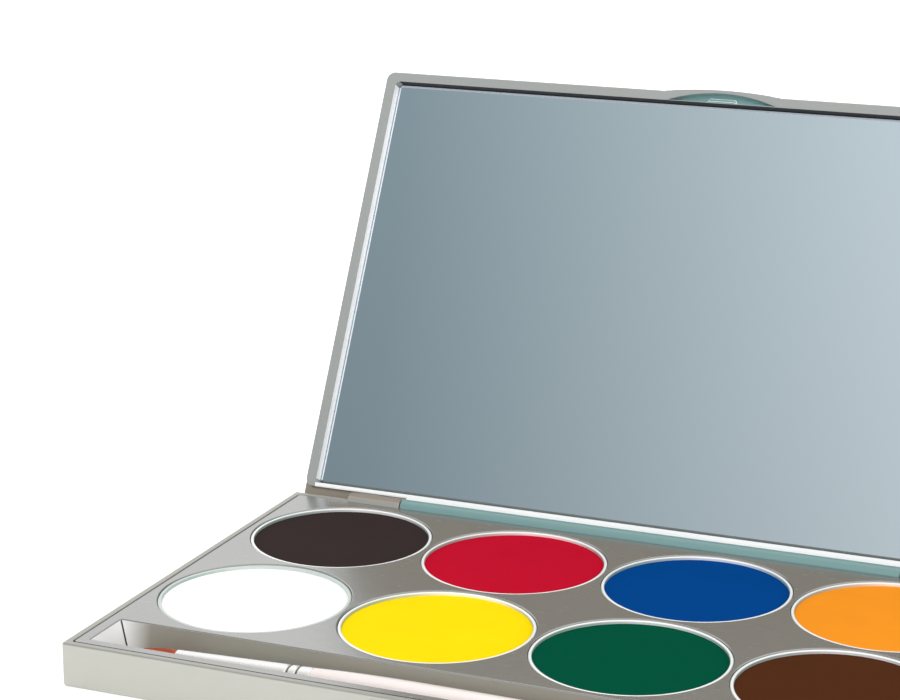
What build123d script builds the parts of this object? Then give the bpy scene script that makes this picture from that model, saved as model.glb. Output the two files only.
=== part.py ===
from build123d import *
import os
from math import cos, pi, sin, sqrt

# A flat make-up palette: a shallow case with a hinged mirror lid, eight round
# pans of face paint in a silver insert, and a brush in a trough along the front.
# X runs along the hinge, the front edge is towards -Y, and the case rests on Z = 0.
# The lid is stored open, leaning back on its stop.

# Case base
case_width = 167.0
case_depth = 102.0
base_height = 9.1
case_wall = 1.5
case_floor = 1.4
case_corner_radius = 1.2
case_inner_corner_radius = 0.8
case_bottom_edge_radius = 0.9
case_rim_edge_radius = 0.45
ledge_width = 0.5

# Thumb scoop in the front wall, under the lip of the lid
scoop_width = 36.0
scoop_low = 1.9
scoop_high = 8.55
scoop_depth = 0.6
scoop_corner_radius = 1.6

# Insert tray
plate_drop = 0.1
plate_thickness = 1.0
plate_side_gap = 0.15
well_radius = 19.8
well_wall = 0.8
well_bottom_thickness = 1.0
well_pitch_x = 40.4
well_pitch_y = 40.8
well_row_offset = 6.75

# Brush trough, formed in the insert with sloping walls
trough_front = -47.0
trough_back = -35.0
trough_side_margin = 4.0
trough_side_slope = 1.2
trough_end_slope = 2.2
trough_wall = 0.7
trough_floor_height = 2.4

# Pans and paint
pan_side_gap = 0.35
pan_wall = 0.5
pan_bottom = 0.8
pan_rim_drop = 0.15
paint_drop = 0.9

# Lid, given here as it lies closed
lid_width = 165.0
lid_overhang = 0.3
lid_height = 6.0
parting_gap = 0.1
lid_corner_radius = 2.0
lid_top_edge_radius = 1.6
lid_face_edge_radius = 0.3
lid_side_rim = 2.6
lid_front_rim = 2.6
lid_rear_wall = 1.0
mirror_recess = 1.8
mirror_thickness = 2.0
mirror_gap = 0.15
mirror_corner_radius = 1.2
pad_thickness = 0.6
pad_margin = 6.0

# Thumb lip and catch in the middle of the free edge
lip_width = 27.0
lip_bulge = 0.9
lip_height = 3.0
lip_wall = 0.8
catch_recess_depth = 1.6
catch_recess_margin = 0.4
catch_width_root = 7.6
catch_width_tip = 6.0
catch_reach = 0.5
catch_height = 1.2
nib_width = 6.0
nib_thickness = 0.5
nib_height = 1.0
nib_gap = 0.25

# Hinge
hinge_behind_case = 0.5
hinge_below_parting = 0.7
knuckle_radius = 2.0
knuckle_clearance = 0.35
knuckle_end_inset = 13.5
knuckle_length = 12.8
knuckle_end_gap = 0.3
gusset_drop = 5.0
pin_radius = 0.8
pin_running_gap = 0.05
pin_in_lid = 12.0
pin_end_inset = 0.4
open_angle = 118.2

# Brush
brush_axis_y = -41.5
brush_tip_x = -71.6
hair_length = 8.4
hair_root_depth = 1.2
hair_disc_thickness = 0.6
ferrule_length = 29.3
ferrule_mouth_radius = 1.75
ferrule_rear_radius = 2.6
ferrule_wall = 0.25
crimp_from_rear = 2.9
crimp_spacing = 2.0
crimp_width = 0.5
crimp_depth = 0.2
handle_belly_radius = 3.1
handle_neck_radius = 2.6
handle_end_radius = 1.7
handle_length = 105.0
handle_belly_at = 0.2
tenon_length = 12.0
strand_pitch = 0.148
strand_side = 0.096
strand_sink = 0.05
strand_tip_scale = 0.45
strand_spread = 0.5
strand_dome = 1.8

# Derived sizes
plate_top = base_height - plate_drop
plate_bottom = plate_top - plate_thickness
well_bottom = case_floor + well_bottom_thickness
pan_radius = well_radius - pan_side_gap
paint_radius = pan_radius - pan_wall
paint_top = plate_top - paint_drop
inner_width = case_width - 2 * case_wall
inner_depth = case_depth - 2 * case_wall
hinge_y = case_depth / 2 + hinge_behind_case
hinge_z = base_height - hinge_below_parting
lid_low = base_height + parting_gap
lid_high = lid_low + lid_height
lid_front = -case_depth / 2 - lid_overhang
lid_rear = hinge_y - knuckle_radius - knuckle_end_gap
pocket_front = lid_front + lid_front_rim
pocket_rear = lid_rear - lid_rear_wall
catch_root_y = pocket_front - catch_recess_margin
pocket_width = lid_width - 2 * lid_side_rim
pocket_top = lid_low + mirror_recess + mirror_thickness + pad_thickness
knuckle_outer_x = case_width / 2 - knuckle_end_inset
knuckle_inner_x = knuckle_outer_x - knuckle_length
barrel_end_x = knuckle_inner_x - knuckle_end_gap
brush_axis_z = trough_floor_height + handle_belly_radius
ferrule_mouth_x = brush_tip_x + hair_length
ferrule_rear_x = ferrule_mouth_x + ferrule_length
handle_end_x = ferrule_rear_x + handle_length

paint_names = [
    ["white", "yellow", "green", "brown"],
    ["black", "red", "blue", "orange"],
]


def well_centres():
    """Name and centre of every well, front row first."""
    centres = []
    for row, names in enumerate(paint_names):
        y = well_row_offset + (row - 0.5) * well_pitch_y
        for column, name in enumerate(names):
            x = (column - 1.5) * well_pitch_x
            centres.append((name, x, y))
    return centres


def rounded_block(width, front, rear, low, high, radius):
    """Upright block with rounded corners between two Y limits."""
    outline = RectangleRounded(width, rear - front, radius)
    return extrude(Pos(0, (front + rear) / 2, low) * outline, high - low)


def disc(x, y, low, high, radius):
    """Upright cylinder between two heights."""
    return Pos(x, y, (low + high) / 2) * Cylinder(radius, high - low)


def bar(x_low, x_high, y, z, radius):
    """Cylinder lying along X."""
    centre = Pos((x_low + x_high) / 2, y, z)
    return centre * Rot(0, 90, 0) * Cylinder(radius, x_high - x_low)


def box_between(x_low, x_high, y_low, y_high, z_low, z_high):
    """Box from its six limits."""
    centre = Pos((x_low + x_high) / 2, (y_low + y_high) / 2, (z_low + z_high) / 2)
    return centre * Box(x_high - x_low, y_high - y_low, z_high - z_low)


def edges_at_height(shape, height):
    """Edges that lie wholly in one level plane."""
    found = []
    for edge in shape.edges():
        box = edge.bounding_box()
        if abs(box.min.Z - height) < 1e-4 and abs(box.max.Z - height) < 1e-4:
            found.append(edge)
    return found


def arc_block(width, base_y, apex_y, low, high, overlap=0.0):
    """Block whose front bulges in an arc, and whose back runs a little further in."""
    half = width / 2
    front = ThreePointArc((-half, base_y), (0, apex_y), (half, base_y))
    if overlap:
        inner_y = base_y + overlap
        back = Polyline(
            (half, base_y), (half, inner_y), (-half, inner_y), (-half, base_y)
        )
    else:
        back = Line((half, base_y), (-half, base_y))
    outline = make_face([*front.edges(), *back.edges()])
    return extrude(Pos(0, 0, low) * outline, high - low)


def hinge_relief():
    """Room cut in the base and the insert for the barrel of the lid."""
    radius = knuckle_radius + knuckle_clearance
    return bar(-knuckle_inner_x, knuckle_inner_x, hinge_y, hinge_z, radius)


def base_shell():
    """Shallow tray with a seat ledge, thumb scoop, catch nib and two knuckles."""
    half_depth = case_depth / 2
    body = rounded_block(
        case_width, -half_depth, half_depth, 0, base_height, case_corner_radius
    )
    body = fillet(edges_at_height(body, 0), case_bottom_edge_radius)
    body = fillet(edges_at_height(body, base_height), case_rim_edge_radius)
    body -= rounded_block(
        inner_width, -inner_depth / 2, inner_depth / 2,
        plate_bottom, base_height, case_inner_corner_radius,
    )
    ledge_inset = case_wall + ledge_width
    body -= rounded_block(
        case_width - 2 * ledge_inset, -half_depth + ledge_inset,
        half_depth - ledge_inset, case_floor, plate_bottom,
        case_inner_corner_radius,
    )
    scoop = RectangleRounded(scoop_width, scoop_high - scoop_low, scoop_corner_radius)
    scoop_plane = Pos(0, -half_depth, (scoop_low + scoop_high) / 2) * Rot(90, 0, 0)
    body -= scoop_plane * extrude(scoop, scoop_depth, both=True)
    body -= hinge_relief()
    nib_rear = catch_root_y - catch_reach - nib_gap
    body += box_between(
        -nib_width / 2, nib_width / 2, nib_rear - nib_thickness, nib_rear,
        base_height - nib_height, base_height + nib_height,
    )
    for side in (-1, 1):
        low, high = sorted((side * knuckle_outer_x, side * knuckle_inner_x))
        body += knuckle_block(low, high)
        body -= bar(low, high, hinge_y, hinge_z, pin_radius)
    return body


def knuckle_block(x_low, x_high):
    """Rounded knuckle on the rear wall, with a sloping gusset below it."""
    wall_y = case_depth / 2 - case_wall / 2
    rear_y = hinge_y + knuckle_radius
    outline = Polyline(
        (wall_y, hinge_z),
        (rear_y, hinge_z),
        (case_depth / 2, hinge_z - gusset_drop),
        (wall_y, hinge_z - gusset_drop),
        close=True,
    )
    gusset_face = Plane.YZ * make_face(outline)
    gusset = Pos(x_low, 0, 0) * extrude(gusset_face, x_high - x_low)
    return gusset + bar(x_low, x_high, hinge_y, hinge_z, knuckle_radius)


def trough_block(grow, top):
    """Sloping-walled block that is as large as the trough, grown on each side."""
    half_length = case_width / 2 - trough_side_margin
    drop = plate_top - trough_floor_height
    rise = (top - trough_floor_height) / drop
    low_z = trough_floor_height - (grow if grow else 0)
    low_rise = (low_z - trough_floor_height) / drop

    def outline(share, height):
        end = half_length - trough_end_slope * (1 - share) + grow
        front = trough_front + trough_side_slope * (1 - share) - grow
        back = trough_back - trough_side_slope * (1 - share) + grow
        place = Pos(0, (front + back) / 2, height)
        return place * Rectangle(2 * end, back - front)

    return loft([outline(low_rise, low_z), outline(rise, top)], ruled=True)


def insert_tray():
    """Silver plate with eight round wells and the brush trough hanging from it."""
    reach_y = inner_depth / 2 - plate_side_gap
    tray = rounded_block(
        inner_width - 2 * plate_side_gap, -reach_y, reach_y, plate_bottom, plate_top,
        case_inner_corner_radius - plate_side_gap,
    )
    for _, x, y in well_centres():
        tray += disc(x, y, case_floor, plate_top, well_radius + well_wall)
    tray += trough_block(trough_wall, plate_top)
    for _, x, y in well_centres():
        tray -= disc(x, y, well_bottom, plate_top, well_radius)
    tray -= trough_block(0, plate_top)
    return tray - hinge_relief()


def pan(x, y):
    """Thin round cup that drops into one well."""
    rim = plate_top - pan_rim_drop
    cup = disc(x, y, well_bottom, rim, pan_radius)
    return cup - disc(x, y, well_bottom + pan_bottom, rim, paint_radius)


def paint_cake(x, y):
    """Cake of paint that fills a pan to just below its rim."""
    return disc(x, y, well_bottom + pan_bottom, paint_top, paint_radius)


def opened(shape):
    """Turn a closed lid piece about the hinge to the open rest."""
    axis = Axis((0, hinge_y, hinge_z), (1, 0, 0))
    return shape.rotate(axis, -open_angle)


def lid_shell():
    """Lid frame with the mirror pocket, hinge barrel, thumb lip and catch."""
    body = rounded_block(
        lid_width, lid_front, lid_rear, lid_low, lid_high, lid_corner_radius
    )
    body = fillet(edges_at_height(body, lid_high), lid_top_edge_radius)
    body = fillet(edges_at_height(body, lid_low), lid_face_edge_radius)
    lip_top = lid_low + lip_height
    lip_front = lid_front - lip_bulge
    body += arc_block(lip_width, lid_front, lip_front, lid_low, lip_top, 1.0)
    body -= arc_block(
        lip_width - 2 * lip_wall, catch_root_y, lip_front + lip_wall,
        lid_low, lid_low + catch_recess_depth,
    )
    body += catch_block()
    body += bar(-barrel_end_x, barrel_end_x, hinge_y, hinge_z, knuckle_radius)
    body += box_between(
        -barrel_end_x, barrel_end_x, lid_rear - lid_rear_wall / 2, hinge_y,
        lid_low, hinge_z + knuckle_radius,
    )
    body -= rounded_block(
        pocket_width, pocket_front, pocket_rear, lid_low, pocket_top,
        mirror_corner_radius,
    )
    for side in (-1, 1):
        inner = barrel_end_x - pin_in_lid - 0.5
        low, high = sorted((side * inner, side * barrel_end_x))
        body -= bar(low, high, hinge_y, hinge_z, pin_radius + pin_running_gap)
    return opened(body)


def catch_block():
    """Trapezoid catch on the back wall of the lip recess."""
    top = lid_low + catch_recess_depth
    tip_y = catch_root_y - catch_reach
    outline = Polyline(
        (-catch_width_root / 2, catch_root_y),
        (catch_width_root / 2, catch_root_y),
        (catch_width_tip / 2, tip_y),
        (-catch_width_tip / 2, tip_y),
        close=True,
    )
    return extrude(Pos(0, 0, top - catch_height) * make_face(outline), catch_height)


def mirror():
    """Glass that lies on its pad at the bottom of the lid pocket."""
    low = lid_low + mirror_recess
    glass = rounded_block(
        pocket_width - 2 * mirror_gap, pocket_front + mirror_gap,
        pocket_rear - mirror_gap, low, low + mirror_thickness,
        mirror_corner_radius - mirror_gap,
    )
    return opened(glass)


def mirror_pad():
    """Sheet of double-sided foam tape between the glass and the lid."""
    sheet = rounded_block(
        pocket_width - 2 * pad_margin, pocket_front + pad_margin,
        pocket_rear - pad_margin, pocket_top - pad_thickness, pocket_top, 1.0,
    )
    return opened(sheet)


def hinge_pin(side):
    """Steel pin, tight in a base knuckle and free in the barrel of the lid."""
    outer = knuckle_outer_x - pin_end_inset
    inner = barrel_end_x - pin_in_lid
    low, high = sorted((side * outer, side * inner))
    return bar(low, high, hinge_y, hinge_z, pin_radius)


def turned(points):
    """Solid of revolution about the brush axis from (x, radius) points."""
    first, last = points[0], points[-1]
    path = [(first[0], 0), *points, (last[0], 0)]
    outline = make_face(Polyline(*path, close=True))
    solid = revolve(Plane.XY * outline, Axis.X)
    return Pos(0, brush_axis_y, brush_axis_z) * solid


def ferrule_radius(x):
    """Outer radius of the ferrule at a place along it."""
    share = (x - ferrule_mouth_x) / ferrule_length
    return ferrule_mouth_radius + share * (ferrule_rear_radius - ferrule_mouth_radius)


def brush_ferrule():
    """Tapered metal sleeve with two crimp grooves near the handle."""
    points = [(ferrule_mouth_x, ferrule_mouth_radius)]
    for count in (1, 0):
        x = ferrule_rear_x - crimp_from_rear - count * crimp_spacing
        radius = ferrule_radius(x)
        points.append((x - crimp_width, radius))
        points.append((x - crimp_width / 2, radius - crimp_depth))
        points.append((x + crimp_width / 2, radius - crimp_depth))
        points.append((x + crimp_width, radius))
    points.append((ferrule_rear_x, ferrule_rear_radius))
    sleeve = turned(points)
    mouth_bore = ferrule_mouth_radius - ferrule_wall
    sleeve -= turned([
        (ferrule_mouth_x, mouth_bore),
        (ferrule_mouth_x + hair_root_depth + hair_disc_thickness, mouth_bore),
    ])
    sleeve -= turned([
        (ferrule_rear_x - tenon_length, tenon_radius()),
        (ferrule_rear_x, tenon_radius()),
    ])
    return sleeve


def tenon_radius():
    """Radius of the handle's end inside the ferrule."""
    return ferrule_radius(ferrule_rear_x - tenon_length) - 2 * ferrule_wall


def brush_handle():
    """Slender turned handle with a belly near the ferrule and a rounded end."""
    belly_x = ferrule_rear_x + handle_belly_at * handle_length
    tip_x = handle_end_x - handle_end_radius
    swell = TangentArc(
        (belly_x, handle_belly_radius),
        (ferrule_rear_x, handle_neck_radius),
        tangent=(-1, 0),
    )
    taper = TangentArc(
        (belly_x, handle_belly_radius),
        (tip_x, handle_end_radius),
        tangent=(1, 0),
    )
    nose = ThreePointArc(
        (tip_x, handle_end_radius),
        (tip_x + handle_end_radius * cos(pi / 4), handle_end_radius * sin(pi / 4)),
        (handle_end_x, 0),
    )
    start = ferrule_rear_x - tenon_length
    rest = Polyline(
        (handle_end_x, 0), (start, 0), (start, tenon_radius()),
        (ferrule_rear_x, tenon_radius()), (ferrule_rear_x, handle_neck_radius),
    )
    outline = make_face([*swell.edges(), *taper.edges(), *nose.edges(), *rest.edges()])
    solid = revolve(outline, Axis.X)
    return Pos(0, brush_axis_y, brush_axis_z) * solid


def strand_places(limit):
    """Hexagonal grid of strand roots inside a circle."""
    places = []
    rows = int(limit / strand_pitch) + 1
    for row in range(-rows, rows + 1):
        v = row * strand_pitch * sqrt(3) / 2
        shift = strand_pitch / 2 if row % 2 else 0
        for column in range(-rows, rows + 1):
            u = column * strand_pitch + shift
            if sqrt(u * u + v * v) <= limit:
                places.append((u, v))
    return places


def strand(u, v, limit):
    """Three-sided hair that leans inwards and ends on a rounded tip."""
    root_x = ferrule_mouth_x + hair_root_depth
    outward = sqrt(u * u + v * v) / limit
    tip_x = brush_tip_x + strand_dome * outward * outward
    reach = (root_x - tip_x) / (root_x - brush_tip_x)
    spread = 1 - (1 - strand_spread) * reach
    sections = [
        (root_x + strand_sink, u, v, 1.0),
        (tip_x, u * spread, v * spread, strand_tip_scale),
    ]
    faces = []
    for x, side_u, side_v, scale in sections:
        plane = Plane(
            origin=(x, brush_axis_y + side_u, brush_axis_z + side_v),
            x_dir=(0, 1, 0), z_dir=(-1, 0, 0),
        )
        faces.append(plane * RegularPolygon(strand_side * scale / sqrt(3), 3))
    return loft(faces, ruled=True)


def brush_hair():
    """Round tuft of single hairs standing on the disc that holds their roots."""
    root_x = ferrule_mouth_x + hair_root_depth
    disc_radius = ferrule_mouth_radius - ferrule_wall
    backing = bar(
        root_x, root_x + hair_disc_thickness, brush_axis_y, brush_axis_z, disc_radius
    )
    limit = disc_radius - strand_side
    hairs = [strand(u, v, limit) for u, v in strand_places(limit)]
    return backing.fuse(*hairs)


def save(shape, name):
    """Write one piece to its own file."""
    export_step(shape, f"parts/{name}.step")


os.makedirs("parts", exist_ok=True)
save(base_shell(), "base_shell")
save(insert_tray(), "insert_tray")
for paint, centre_x, centre_y in well_centres():
    save(pan(centre_x, centre_y), f"pan_{paint}")
    save(paint_cake(centre_x, centre_y), f"paint_{paint}")
save(lid_shell(), "lid_shell")
save(mirror(), "mirror")
save(mirror_pad(), "mirror_pad")
save(hinge_pin(-1), "hinge_pin_left")
save(hinge_pin(1), "hinge_pin_right")
save(brush_ferrule(), "brush_ferrule")
save(brush_handle(), "brush_handle")
save(brush_hair(), "brush_hair")
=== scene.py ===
# Studio scene of a silver face paint palette: case, mirror lid, eight pans of paint and a brush.
import random
from math import cos, pi, radians, sin, sqrt

import bmesh
import bpy
from mathutils import Matrix, Vector, noise


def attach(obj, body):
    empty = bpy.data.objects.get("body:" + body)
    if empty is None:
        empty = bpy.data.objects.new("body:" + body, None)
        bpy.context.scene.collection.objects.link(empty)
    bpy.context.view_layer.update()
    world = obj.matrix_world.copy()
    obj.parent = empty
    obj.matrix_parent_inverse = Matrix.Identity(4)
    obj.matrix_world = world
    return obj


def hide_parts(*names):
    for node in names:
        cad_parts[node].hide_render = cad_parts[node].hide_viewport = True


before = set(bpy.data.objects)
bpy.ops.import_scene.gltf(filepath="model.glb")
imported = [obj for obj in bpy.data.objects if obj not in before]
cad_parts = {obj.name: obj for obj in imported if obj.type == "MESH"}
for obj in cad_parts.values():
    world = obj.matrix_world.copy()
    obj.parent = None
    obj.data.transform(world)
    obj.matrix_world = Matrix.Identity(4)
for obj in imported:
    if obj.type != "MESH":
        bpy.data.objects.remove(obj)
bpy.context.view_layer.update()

mm = 0.001


def toLinear(hexCode):
    # sRGB hex to linear colour
    parts = [int(hexCode[i:i + 2], 16) / 255 for i in (1, 3, 5)]
    return tuple(p / 12.92 if p <= 0.04045 else ((p + 0.055) / 1.055) ** 2.4 for p in parts) + (1.0,)


def addNode(tree, kind, settings=None, links=None):
    # capitalised or numbered keys are sockets, the others are the node's own options
    node = tree.nodes.new(kind)
    for key, value in (settings or {}).items():
        if isinstance(key, int) or key[0].isupper():
            node.inputs[key].default_value = value
        else:
            setattr(node, key, value)
    for key, socket in (links or {}).items():
        tree.links.new(socket, node.inputs[key])
    return node


def startMaterial(name):
    material = bpy.data.materials.new(name)
    material.use_nodes = True
    tree = material.node_tree
    shader = tree.nodes["Principled BSDF"]
    return material, tree, shader


def setShader(shader, values):
    for key, value in values.items():
        shader.inputs[key].default_value = value


def setRamp(node, stops):
    ramp = node.color_ramp
    while len(ramp.elements) > 1:
        ramp.elements.remove(ramp.elements[-1])
    ramp.elements[0].position = stops[0][0]
    ramp.elements[0].color = stops[0][1]
    for position, color in stops[1:]:
        ramp.elements.new(position).color = color


def scaled(color, share):
    # a colour made lighter or darker, never past white
    return tuple(min(1.0, c * share) for c in color[:3]) + (1.0,)


def corner(x, y, z):
    return Vector((x, y, z)) * mm


def bevelEdges(bm, edges, radius, segments, clamp=False):
    # rounds edges, or chamfers them where segments is 1
    bmesh.ops.bevel(bm, geom=edges, offset=radius * mm, segments=segments, profile=0.5,
                    affect="EDGES", material=-1, clamp_overlap=clamp)


def edgesAlong(bm, axis, least):
    # edges that run further than this many mm along X, Y or Z
    return [e for e in bm.edges if abs(e.verts[0].co[axis] - e.verts[1].co[axis]) > least * mm]


def slab(low, high, radius, segments=8):
    # block with its four upright edges rounded
    bm = bmesh.new()
    low, high = corner(*low), corner(*high)
    size = high - low
    place = Matrix.Translation((low + high) / 2) @ Matrix.Diagonal((*size, 1))
    bmesh.ops.create_cube(bm, size=1, matrix=place)
    if radius:
        bevelEdges(bm, edgesAlong(bm, 2, size.z / mm / 2), radius, segments)
    return bm


def roundEdges(bm, test, radius, segments=3, sharper=30):
    # rounds the sharp edges whose two ends both pass the test
    edges = [e for e in bm.edges if len(e.link_faces) == 2
             and all(test(v.co) for v in e.verts) and e.calc_face_angle(0) > radians(sharper)]
    bevelEdges(bm, edges, radius, segments, clamp=True)


def atHeight(z):
    return lambda co: abs(co.z - z * mm) < 1e-6


def rod(xLow, xHigh, y, z, radius, steps):
    # cylinder lying along X
    bm = bmesh.new()
    place = Matrix.Translation(corner((xLow + xHigh) / 2, y, z)) @ Matrix.Rotation(pi / 2, 4, "Y")
    bmesh.ops.create_cone(bm, cap_ends=True, segments=steps, radius1=radius * mm, radius2=radius * mm,
                          depth=(xHigh - xLow) * mm, matrix=place)
    return bm


def hingeRod(xLow, xHigh, radius, steps):
    # cylinder on the hinge line, from either end to the other
    xLow, xHigh = sorted((xLow, xHigh))
    return rod(xLow, xHigh, hinge["y"], hinge["z"], radius, steps)


def drum(x, y, zLow, zHigh, radius, steps):
    # upright cylinder
    bm = bmesh.new()
    place = Matrix.Translation(corner(x, y, (zLow + zHigh) / 2))
    bmesh.ops.create_cone(bm, cap_ends=True, segments=steps, radius1=radius * mm, radius2=radius * mm,
                          depth=(zHigh - zLow) * mm, matrix=place)
    return bm


def flatFace(bm, points):
    # one face through points given in mm
    return bm.faces.new([bm.verts.new(corner(*point)) for point in points])


def pushFace(bm, face, along):
    # pushes a flat face out into a block
    pushed = bmesh.ops.extrude_face_region(bm, geom=[face])
    moved = [v for v in pushed["geom"] if isinstance(v, bmesh.types.BMVert)]
    bmesh.ops.translate(bm, vec=corner(*along), verts=moved)
    bmesh.ops.recalc_face_normals(bm, faces=bm.faces)
    return bm


def merge(bm, *others):
    # lays other meshes into the first as loose shells
    for other in others:
        shell = bpy.data.meshes.new("shell")
        other.to_mesh(shell)
        other.free()
        bm.from_mesh(shell)
        bpy.data.meshes.remove(shell)
    return bm


def combine(bm, tool, operation):
    # union or difference with a tool mesh
    made = []
    for label, part in (("blank", bm), ("tool", tool)):
        bmesh.ops.recalc_face_normals(part, faces=part.faces)
        shell = bpy.data.meshes.new(label)
        part.to_mesh(shell)
        part.free()
        made.append(bpy.data.objects.new(label, shell))
        bpy.context.collection.objects.link(made[-1])
    blank, cutter = made
    step = blank.modifiers.new("combine", "BOOLEAN")
    step.operation, step.object, step.solver = operation, cutter, "EXACT"
    step.use_self = True
    bpy.context.view_layer.update()
    result = bpy.data.meshes.new_from_object(blank.evaluated_get(bpy.context.evaluated_depsgraph_get()))
    out = bmesh.new()
    out.from_mesh(result)
    bpy.data.meshes.remove(result)
    for thing in made:
        shell = thing.data
        bpy.data.objects.remove(thing)
        bpy.data.meshes.remove(shell)
    bmesh.ops.remove_doubles(out, verts=out.verts, dist=1e-7)
    bmesh.ops.dissolve_degenerate(out, edges=out.edges, dist=1e-7)
    return out


def lathe(profile, steps, place):
    # turns (radius, height) points about Z; both ends of the profile lie on the axis
    bm = bmesh.new()
    verts = [bm.verts.new((r * mm, 0, z * mm)) for r, z in profile]
    for a, b in zip(verts, verts[1:]):
        bm.edges.new((a, b))
    bmesh.ops.spin(bm, geom=bm.verts[:] + bm.edges[:], cent=(0, 0, 0), axis=(0, 0, 1),
                   angle=2 * pi, steps=steps, use_merge=True)
    bmesh.ops.remove_doubles(bm, verts=bm.verts, dist=1e-7)
    bmesh.ops.recalc_face_normals(bm, faces=bm.faces)
    bmesh.ops.transform(bm, matrix=place, verts=bm.verts)
    return bm


def dressFaces(bm, rules):
    # gives faces that pass a test (centre in mm, normal) the material of that index
    bm.normal_update()
    for face in bm.faces:
        centre = face.calc_center_median() / mm
        for index, test in rules:
            if test(centre, face.normal):
                face.material_index = index


def finishPiece(name, bm, body, node, materials, sharp=32):
    # mesh to object, smooth but for its sharp edges, riding where the solid rides
    mesh = bpy.data.meshes.new(name)
    bm.to_mesh(mesh)
    bm.free()
    mesh.polygons.foreach_set("use_smooth", [True] * len(mesh.polygons))
    mesh.set_sharp_from_angle(angle=radians(sharp))
    for material in materials:
        mesh.materials.append(material)
    piece = bpy.data.objects.new(name, mesh)
    bpy.context.collection.objects.link(piece)
    even = piece.modifiers.new("evenNormals", "WEIGHTED_NORMAL")
    even.keep_sharp = True  # large flats stay flat beside small roundings
    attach(piece, body)
    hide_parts(node)
    return piece


def per(size):
    # scale of a pattern whose real size is given in mm
    return 1 / (size * mm)


def addGrain(tree, shader, spot, size, strength):
    # fine unevenness, its size in mm, that shows only in the highlights
    grain = addNode(tree, "ShaderNodeTexNoise", {"Scale": per(size), "Detail": 2.0}, {"Vector": spot})
    bump = addNode(tree, "ShaderNodeBump", {"Strength": strength, "Distance": 0.02 * mm},
                   {"Height": grain.outputs["Fac"]})
    tree.links.new(bump.outputs["Normal"], shader.inputs["Normal"])


def addStreaks(tree, spot, sizes, detail=2.0, turn=0.0):
    # noise that is drawn out along an axis, its three sizes in mm
    stretch = addNode(tree, "ShaderNodeMapping",
                      {"Scale": [per(size) for size in sizes], "Rotation": (0, 0, turn)}, {"Vector": spot})
    streaks = addNode(tree, "ShaderNodeTexNoise", {"Scale": 1.0, "Detail": detail},
                      {"Vector": stretch.outputs["Vector"]})
    return streaks.outputs["Fac"]


skinPeel = 2.38  # orange peel of the moulded skins, mm


def metallisedPlastic(name, tone, rough, peel, metal):
    # vacuum-metallised ABS under satin lacquer: a soft silver glow with a faint moulded ripple
    material, tree, shader = startMaterial(name)
    spot = addNode(tree, "ShaderNodeTexCoord").outputs["Object"]
    cloud = addNode(tree, "ShaderNodeTexNoise", {"Scale": per(26.3), "Detail": 3.0}, {"Vector": spot})
    shade = addNode(tree, "ShaderNodeValToRGB", {}, {"Fac": cloud.outputs["Fac"]})
    base = toLinear(tone)
    setRamp(shade, [(0.3, scaled(base, 0.96)), (0.7, base)])
    tree.links.new(shade.outputs["Color"], shader.inputs["Base Color"])
    scuff = addStreaks(tree, spot, (3.85, 0.385, 1.11), turn=0.12)  # handling marks
    sheen = addNode(tree, "ShaderNodeMapRange",
                    {"From Min": 0.35, "From Max": 0.75, "To Min": rough - 0.02, "To Max": rough + 0.04},
                    {"Value": scuff})
    tree.links.new(sheen.outputs["Result"], shader.inputs["Roughness"])
    addGrain(tree, shader, spot, skinPeel, peel)
    setShader(shader, {"Metallic": metal})
    return material


def paintedReflectionPlating():
    # metallised moulding with a painted blue-green reflection of the mirror where it faces the mirror side,
    # silver behind
    material, tree, shader = startMaterial("metallised moulding with painted blue-green reflection")
    spot = addNode(tree, "ShaderNodeTexCoord")
    mirrorSide = (0.0, -0.881, 0.473)  # the way the mirror faces when the lid rests open
    facing = addNode(tree, "ShaderNodeVectorMath", {"operation": "DOT_PRODUCT", 1: mirrorSide},
                     {0: spot.outputs["Normal"]})
    share = addNode(tree, "ShaderNodeMapRange", {"From Min": -0.35, "From Max": 0.25},
                    {"Value": facing.outputs["Value"]})
    shade = addNode(tree, "ShaderNodeValToRGB", {}, {"Fac": share.outputs["Result"]})
    setRamp(shade, [(0.0, toLinear("#A5A8A6")), (1.0, toLinear("#86ABAB"))])
    tree.links.new(shade.outputs["Color"], shader.inputs["Base Color"])
    addGrain(tree, shader, spot.outputs["Object"], skinPeel, 0.05)
    setShader(shader, {"Metallic": 0.5, "Roughness": 0.34})
    return material


def panWithPaintedReflection(name, tone):
    # bright plated cup with painted reflection: near white where it faces front and back, sinking to a
    # painted cool grey-green at its sides
    material, tree, shader = startMaterial(name)
    spot = addNode(tree, "ShaderNodeTexCoord")
    turn = addNode(tree, "ShaderNodeSeparateXYZ", {}, {"Vector": spot.outputs["Normal"]})
    aside = addNode(tree, "ShaderNodeMath", {"operation": "ABSOLUTE"}, {0: turn.outputs["X"]})
    shade = addNode(tree, "ShaderNodeValToRGB", {}, {"Fac": aside.outputs["Value"]})
    setRamp(shade, [(0.25, toLinear(tone)), (0.6, toLinear("#CBD4D1")), (0.95, toLinear("#9DB0AA"))])
    tree.links.new(shade.outputs["Color"], shader.inputs["Base Color"])
    addGrain(tree, shader, spot.outputs["Object"], skinPeel, 0.05)
    setShader(shader, {"Metallic": 0.12, "Roughness": 0.22})
    return material


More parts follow.
